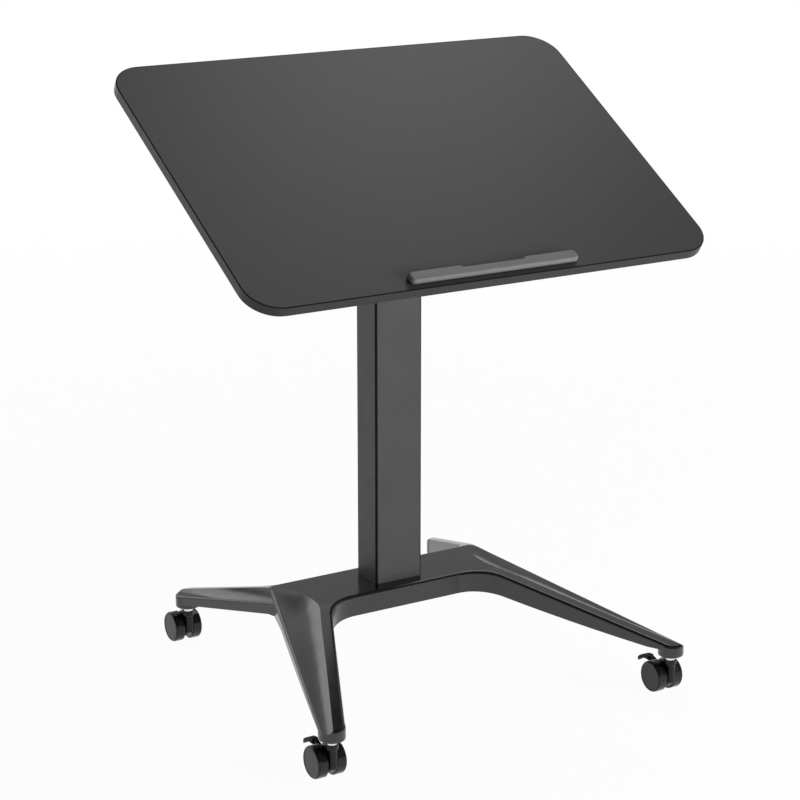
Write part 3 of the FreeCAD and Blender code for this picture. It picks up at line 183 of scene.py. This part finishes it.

# Column: a welded rectangular steel tube over a plastic plug, which is bolted to the crossbar from below.
# A second tube slides inside it on a glide sleeve and a collar.
# Both tubes are powder coated satin black; the outer one's rounded corners carry a painted dark reflection.


def dulled_where(tree, mask, shader, roughness, amount):
    # Adds the amount to the roughness as the mask goes from 0 to 1.
    duller = add_node(tree, "ShaderNodeMath", operation="MULTIPLY_ADD")
    duller.inputs[1].default_value = amount
    tree.links.new(mask, duller.inputs[0])
    tree.links.new(roughness, duller.inputs[2])
    tree.links.new(duller.outputs[0], shader.inputs["Roughness"])


column_black = (0.034, 0.034, 0.035)
# This colour is a painted dark reflection for the outer tube's rounded corners.
painted_corner_dark = (0.003, 0.003, 0.003)
corner_radius = 0.0035
corner_start = corner_radius * 1.1
corner_end = corner_radius * 0.7
tube_low, tube_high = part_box("outer_column")
tube_middle = (tube_low.y + tube_high.y) / 2
half_width = tube_high.x
half_depth = tube_high.y - tube_middle
tube_coat, tree, shader, place = new_material("tube_powder_coat", column_black, specular=0.37)
axes = add_node(tree, "ShaderNodeSeparateXYZ")
across = add_node(tree, "ShaderNodeMath", operation="ABSOLUTE")
shifted = add_node(tree, "ShaderNodeMath", operation="SUBTRACT")
shifted.inputs[1].default_value = tube_middle
along = add_node(tree, "ShaderNodeMath", operation="ABSOLUTE")
# The two ranges below mask the tube's rounded corners, where a dark reflection is painted and the roughness
# raised.
near_side = add_node(tree, "ShaderNodeMapRange", interpolation_type="SMOOTHSTEP",
                     From_Min=half_width - corner_start, From_Max=half_width - corner_end)
near_face = add_node(tree, "ShaderNodeMapRange", interpolation_type="SMOOTHSTEP",
                     From_Min=half_depth - corner_start, From_Max=half_depth - corner_end)
painted_dark_corners = add_node(tree, "ShaderNodeMath", operation="MULTIPLY")
tree.links.new(place.outputs["Object"], axes.inputs["Vector"])
tree.links.new(axes.outputs["X"], across.inputs[0])
tree.links.new(axes.outputs["Y"], shifted.inputs[0])
tree.links.new(shifted.outputs[0], along.inputs[0])
tree.links.new(across.outputs[0], near_side.inputs["Value"])
tree.links.new(along.outputs[0], near_face.inputs["Value"])
tree.links.new(near_side.outputs["Result"], painted_dark_corners.inputs[0])
tree.links.new(near_face.outputs["Result"], painted_dark_corners.inputs[1])
powder = drifting(tree, place, column_black, scale=14, amount=0.07)
tree.links.new(overlay(tree, painted_dark_corners.outputs[0], powder, painted_corner_dark), shader.inputs["Base Color"])
satin = patchy_roughness(tree, place, shader, scale=60, low=0.36, high=0.46)
dulled_where(tree, painted_dark_corners.outputs[0], shader, satin, amount=0.5)
grain(tree, place, shader, scale=1500, depth=0.0002, strength=0.16)
coat(tube_coat, "outer_column")

guide_black = (0.02, 0.02, 0.021)
guide_plastic, tree, shader, place = new_material("guide_moulded_black", guide_black, specular=0.45)
tree.links.new(drifting(tree, place, guide_black, scale=80, amount=0.12), shader.inputs["Base Color"])
patchy_roughness(tree, place, shader, scale=200, low=0.42, high=0.58)
grain(tree, place, shader, scale=2000, depth=0.0001, strength=0.12, softened=0.0005)
coat(guide_plastic, "column_plug", "glide_sleeve", "column_collar")
coat(plated_steel, "column_bolts")

column_coat, tree, shader, place = new_material("column_powder_coat", column_black, specular=0.37)
powder = drifting(tree, place, column_black, scale=14, amount=0.07)
rims = rubbed_edges(tree, place, radius=0.0008, breakup=260)
tree.links.new(overlay(tree, rims, powder, rubbed_black), shader.inputs["Base Color"])
patchy_roughness(tree, place, shader, scale=60, low=0.36, high=0.46)
grain(tree, place, shader, scale=1500, depth=0.0002, strength=0.16, softened=0.0008)
coat(column_coat, "inner_column")

# Gas spring: a black cylinder on the plug and a ground, chromed piston rod
# that lifts the head; a steel pin in the rod's bore opens the valve.

rod_grey = (0.72, 0.72, 0.73)
rod_chrome, tree, shader, place = new_material("rod_hard_chrome", rod_grey, specular=0.5)
tree.links.new(drifting(tree, place, rod_grey, scale=200, amount=0.03), shader.inputs["Base Color"])
patchy_roughness(tree, place, shader, scale=400, low=0.07, high=0.14)
grain(tree, place, shader, scale=1200, depth=0.0001, strength=0.03)
shader.inputs["Metallic"].default_value = 1.0
coat(rod_chrome, "piston_rod")
coat(column_coat, "gas_cylinder")
coat(plated_steel, "cylinder_nut", "rod_nut", "release_pin")

# Column head: coated steel, with two cheeks for the tilt shaft and a spigot screwed into the inner tube.
# The plated release lever pivots between two lugs and ends in a moulded grip under the right half of the top.
# Plastic washers give the tilt its friction, and a moulded knob clamps it.

coat(column_coat, "column_head")
coat(plated_steel, "head_screws", "release_lever", "lever_pin", "tilt_shaft", "outer_washers")
coat(guide_plastic, "lever_grip", "friction_washers", "tilt_knob")

# Table top: a particle board faced with dark grey laminate on both sides, pressed with a fine pearl grain.
# A plastic band is glued round its edge; its round beside the laminate carries a painted dark reflection.
# A powder-coated steel frame is screwed under it and turns about the tilt shaft.

laminate_grey = (0.024, 0.024, 0.0245)
laminate, tree, shader, place = new_material("dark_grey_laminate", laminate_grey, specular=0.5)
tree.links.new(drifting(tree, place, laminate_grey, scale=700, amount=0.10), shader.inputs["Base Color"])
patchy_roughness(tree, place, shader, scale=500, low=0.47, high=0.55)
grain(tree, place, shader, scale=1100, depth=0.0002, strength=0.14)
coat(laminate, "tabletop_board")

band_grey = (0.008, 0.008, 0.0085)
# This colour is a painted dark reflection for the band's top round.
band_painted_dark = (0.003, 0.003, 0.003)
board_lean = radians(30.5)
band_plastic, tree, shader, place = new_material("edge_band_plastic", band_grey, specular=0.45)
# The mask rises as the band's surface turns from its side toward the top's face, and paints a dark reflection
# on that round.
facing = add_node(tree, "ShaderNodeVectorMath", operation="DOT_PRODUCT")
facing.inputs[1].default_value = (0, -sin(board_lean), cos(board_lean))
painted_dark_round = add_node(tree, "ShaderNodeMapRange", From_Min=0.29, From_Max=0.58)
tree.links.new(place.outputs["Normal"], facing.inputs[0])
tree.links.new(facing.outputs["Value"], painted_dark_round.inputs["Value"])
extruded = drifting(tree, place, band_grey, scale=12, amount=0.08)
banded = overlay(tree, painted_dark_round.outputs["Result"], extruded, band_painted_dark)
tree.links.new(banded, shader.inputs["Base Color"])
satin = patchy_roughness(tree, place, shader, scale=80, low=0.40, high=0.50)
dulled_where(tree, painted_dark_round.outputs["Result"], shader, satin, amount=0.5)
grain(tree, place, shader, scale=1600, depth=0.0001, strength=0.04)
coat(band_plastic, "edge_band")
coat(column_coat, "tilt_frame")
coat(plated_steel, "frame_screws")

# Laptop stop: a moulded plastic bar screwed from below into a shallow seat along the front of the top,
# with a rounded crown and a long notch at the back for a thumb under a lid.

stop_grey = (0.10, 0.10, 0.102)
stop_plastic, tree, shader, place = new_material("stop_moulded_grey", stop_grey, specular=0.75)
tree.links.new(drifting(tree, place, stop_grey, scale=300, amount=0.06), shader.inputs["Base Color"])
patchy_roughness(tree, place, shader, scale=120, low=0.48, high=0.58)
grain(tree, place, shader, scale=2600, depth=0.0001, strength=0.14, softened=0.003)
coat(stop_plastic, "laptop_stop")
coat(plated_steel, "stop_screws")

# Studio: a white floor that runs on to the horizon, in a room that is bright at the horizon
# and on its back wall, and dark overhead and in front. Soft boxes stand at the back left and the back,
# one hangs overhead right, and a low fill stands at the front right.

floor_reach = 40.0
floor_grey = (0.86, 0.86, 0.86)
corners = [(-floor_reach, -floor_reach, 0), (floor_reach, -floor_reach, 0),
           (floor_reach, floor_reach, 0), (-floor_reach, floor_reach, 0)]
floor_mesh = bpy.data.meshes.new("studio_floor")
floor_mesh.from_pydata(corners, [], [(0, 1, 2, 3)])
floor = bpy.data.objects.new("studio_floor", floor_mesh)
bpy.context.collection.objects.link(floor)
floor_white, tree, shader, place = new_material("studio_floor_white", floor_grey, specular=0.2)
shader.inputs["Base Color"].default_value = (*floor_grey, 1)
shader.inputs["Roughness"].default_value = 0.9

# Camera and mirror rays see the floor as white; near the object a small share stays lit, for its shadow.
glow = add_node(tree, "ShaderNodeEmission", Strength=1.0)
glow.inputs["Color"].default_value = (1, 1, 1, 1)
ray = add_node(tree, "ShaderNodeLightPath")
seen = add_node(tree, "ShaderNodeMath", operation="MAXIMUM")
seen_glass = add_node(tree, "ShaderNodeMath", operation="MAXIMUM")
away = add_node(tree, "ShaderNodeVectorMath", operation="LENGTH")
clear = add_node(tree, "ShaderNodeMapRange", interpolation_type="SMOOTHSTEP",
                 From_Min=0.5, From_Max=4.0, To_Min=0.95, To_Max=1.0)
share = add_node(tree, "ShaderNodeMath", operation="MULTIPLY")
mixer = add_node(tree, "ShaderNodeMixShader")
tree.links.new(ray.outputs["Is Camera Ray"], seen.inputs[0])
tree.links.new(ray.outputs["Is Glossy Ray"], seen.inputs[1])
tree.links.new(seen.outputs[0], seen_glass.inputs[0])
tree.links.new(ray.outputs["Is Transmission Ray"], seen_glass.inputs[1])
tree.links.new(place.outputs["Object"], away.inputs[0])
tree.links.new(away.outputs["Value"], clear.inputs["Value"])
tree.links.new(seen_glass.outputs[0], share.inputs[0])
tree.links.new(clear.outputs["Result"], share.inputs[1])
tree.links.new(share.outputs[0], mixer.inputs["Fac"])
tree.links.new(shader.outputs["BSDF"], mixer.inputs[1])
tree.links.new(glow.outputs["Emission"], mixer.inputs[2])
tree.links.new(mixer.outputs["Shader"], tree.nodes["Material Output"].inputs["Surface"])
floor_mesh.materials.append(floor_white)

world = bpy.data.worlds.new("studio_room")
bpy.context.scene.world = world
world.use_nodes = True
tree = world.node_tree
room = tree.nodes["Background"]
room.inputs["Color"].default_value = (1, 1, 1, 1)
look = add_node(tree, "ShaderNodeTexCoord")
split = add_node(tree, "ShaderNodeSeparateXYZ")
height = add_node(tree, "ShaderNodeValToRGB")
levels = height.color_ramp.elements
levels[0].position = 0.42
levels[0].color = (0.36, 0.36, 0.36, 1)
levels[1].position = 0.85
levels[1].color = (0.1, 0.1, 0.1, 1)
glare = levels.new(0.62)
glare.color = (0.85, 0.85, 0.85, 1)
behind = add_node(tree, "ShaderNodeMapRange", From_Min=0.1, From_Max=0.7, To_Min=0.2, To_Max=1.0)
wall = add_node(tree, "ShaderNodeMath", operation="MULTIPLY")
horizon = add_node(tree, "ShaderNodeMapRange", interpolation_type="SMOOTHSTEP",
                   From_Min=0.05, From_Max=0.22, To_Min=1.0, To_Max=0.0)
brighter = add_node(tree, "ShaderNodeMath", operation="MAXIMUM")
tree.links.new(look.outputs["Generated"], split.inputs["Vector"])
tree.links.new(split.outputs["Z"], height.inputs["Fac"])
tree.links.new(split.outputs["Y"], behind.inputs["Value"])
tree.links.new(split.outputs["Z"], horizon.inputs["Value"])
tree.links.new(height.outputs["Color"], wall.inputs[0])
tree.links.new(behind.outputs["Result"], wall.inputs[1])
tree.links.new(wall.outputs["Value"], brighter.inputs[0])
tree.links.new(horizon.outputs["Result"], brighter.inputs[1])
tree.links.new(brighter.outputs["Value"], room.inputs["Strength"])


def soft_box(name, spot, aim, wide, tall, power, mirrored=True):
    lamp = bpy.data.lights.new(name, "AREA")
    lamp.shape = "RECTANGLE"
    lamp.size = wide
    lamp.size_y = tall
    lamp.energy = power
    light = bpy.data.objects.new(name, lamp)
    light.location = spot
    light.rotation_euler = (Vector(aim) - Vector(spot)).to_track_quat("-Z", "Y").to_euler()
    light.visible_camera = False
    light.visible_glossy = mirrored
    bpy.context.collection.objects.link(light)


soft_box("left_soft_box", spot=(-1.8, 1.6, 1.4), aim=(0, 0, 0.5), wide=1.0, tall=1.4, power=6)
soft_box("back_soft_box", spot=(-0.5, 1.9, 1.15), aim=(-0.2, 0, 0.1), wide=0.9, tall=0.8, power=3.2)
soft_box("overhead_soft_box", spot=(1.2, 0.85, 2.8), aim=(0, 0, 0.5), wide=1.2, tall=1.2, power=13)
soft_box("front_fill", spot=(2.1, -2.5, 0.6), aim=(0, 0, 0.3), wide=3.0, tall=1.2, power=240,
         mirrored=False)

# Camera: a long lens at the photograph's viewpoint, left of centre and above the top.
# It stands about 3.6 m from the column and looks down by 16 degrees.

eye = bpy.data.cameras.new("photo_camera")
eye.sensor_width = 36.0
eye.lens = 105.93
camera = bpy.data.objects.new("photo_camera", eye)
right = Vector((0.8533, -0.5214, 0.0))
up = Vector((0.1446, 0.2366, 0.9607))
back = Vector((-0.5010, -0.8197, 0.2773))
camera.rotation_euler = Matrix((right, up, back)).transposed().to_euler()
camera.location = (-1.85917, -3.03467, 1.48097)
bpy.context.collection.objects.link(camera)
bpy.context.scene.camera = camera
bpy.context.scene.view_settings.view_transform = "Standard"
